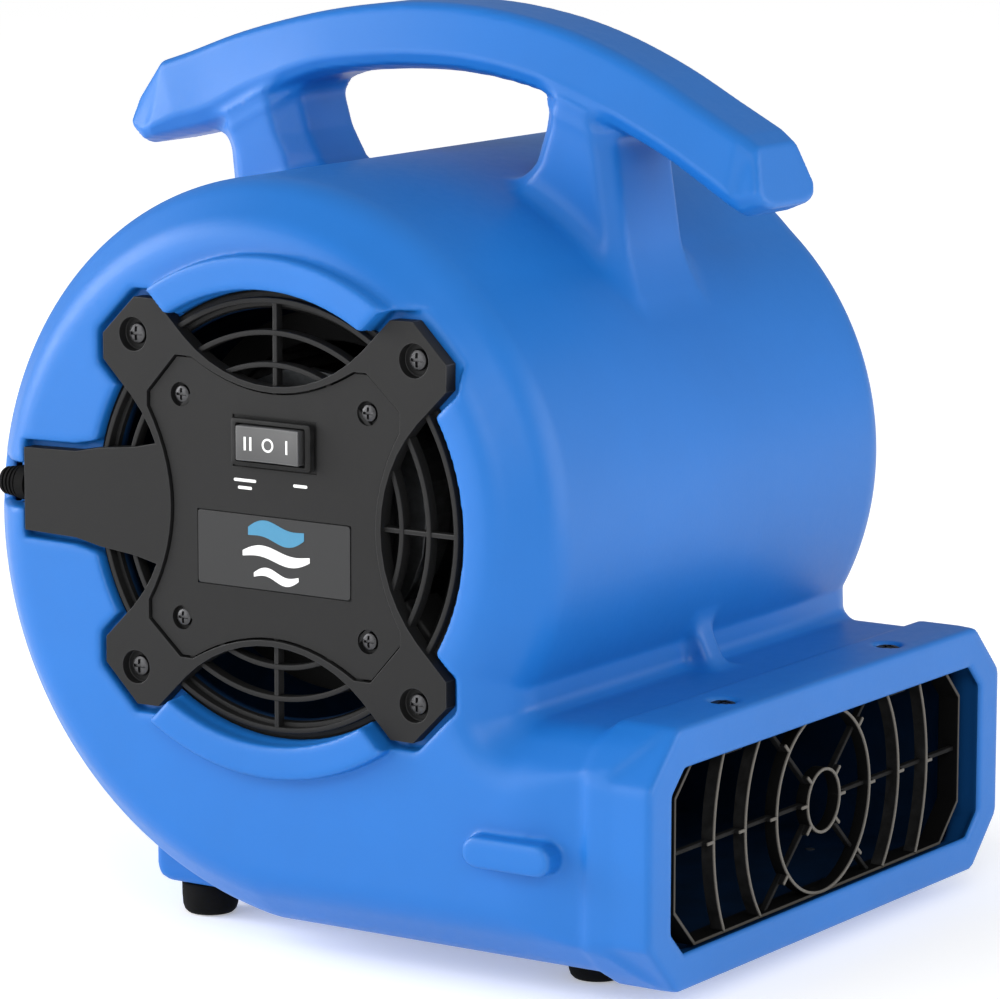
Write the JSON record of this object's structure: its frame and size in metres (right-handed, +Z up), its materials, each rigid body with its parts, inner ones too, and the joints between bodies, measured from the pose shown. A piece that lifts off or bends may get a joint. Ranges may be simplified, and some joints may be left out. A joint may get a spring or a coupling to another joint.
{
  "type": "air mover",
  "caption": "Small moulded carpet-drying air mover with a scroll housing, top handle, guarded side intakes, outlet grille and rocker switch.",
  "frame": {"origin": "on the floor under the middle of the machine, at the bottom centre of its box", "axes": "+Z up, +Y to the rear away from the air outlet, +X along the fan axis away from the switch side, so the outlet blows towards -Y and the switch is on -X"},
  "size_m": [0.226, 0.2462, 0.2786],
  "materials": {
    "blue_polyethylene": "satin rotomoulded polyethylene with a fine orange-peel skin",
    "black_plastic": "satin black moulded plastic with a fine texture",
    "switch_plastic": "satin dark grey moulded plastic",
    "label_film": "smooth dark film",
    "black_rubber": "matt moulded rubber",
    "zinc_steel": "zinc plated",
    "motor_steel": "dull machined and laminated steel",
    "wheel_plastic": "matt black moulded plastic",
    "cast_aluminium": "as-cast, slightly rough"
  },
  "bodies": {
    "machine": {"housing": "blue_polyethylene", "intake_guard_switch_side": "black_plastic", "intake_guard_far_side": "black_plastic", "far_centre_cap": "black_plastic", "switch_plate": "black_plastic", "switch_body": "black_plastic", "run_capacitor": "black_plastic", "outlet_grille": "black_plastic", "label_plate": "label_film", "cord_gland": "black_rubber", "foot_front_left": "black_rubber", "foot_front_right": "black_rubber", "foot_rear_left": "black_rubber", "foot_rear_right": "black_rubber", "bearing_front": "zinc_steel", "bearing_rear": "zinc_steel", "collar_screw_left": "zinc_steel", "collar_screw_right": "zinc_steel", "foot_screw_front_left": "zinc_steel", "foot_screw_front_right": "zinc_steel", "foot_screw_rear_left": "zinc_steel", "foot_screw_rear_right": "zinc_steel", "guard_screw_switch_side_rear_top": "zinc_steel", "guard_screw_switch_side_front_top": "zinc_steel", "guard_screw_switch_side_front_bottom": "zinc_steel", "guard_screw_switch_side_rear_bottom": "zinc_steel", "guard_screw_far_side_rear_top": "zinc_steel", "guard_screw_far_side_front_top": "zinc_steel", "guard_screw_far_side_front_bottom": "zinc_steel", "guard_screw_far_side_rear_bottom": "zinc_steel", "plate_screw_rear_top": "zinc_steel", "plate_screw_front_top": "zinc_steel", "plate_screw_front_bottom": "zinc_steel", "plate_screw_rear_bottom": "zinc_steel", "motor_stator": "motor_steel", "motor_mount": "motor_steel", "motor_front_bell": "cast_aluminium", "motor_rear_bell": "cast_aluminium"},
    "fan_rotor": {"motor_shaft": "motor_steel", "motor_rotor": "motor_steel", "fan_wheel": "wheel_plastic"},
    "rocker": {"switch_rocker": "switch_plastic"}
  },
  "joints": [
    {"name": "fan_spin", "type": "hinge", "parent": "machine", "child": "fan_rotor", "pos_m": [0, 0.00485, 0.135], "axis": [1, 0, 0], "continuous": true},
    {"name": "rocker_tilt", "type": "hinge", "parent": "machine", "child": "rocker", "pos_m": [-0.1045, 0.0044, 0.1565], "axis": [0, 0, 1], "range_deg": [-8, 8]}
  ]
}
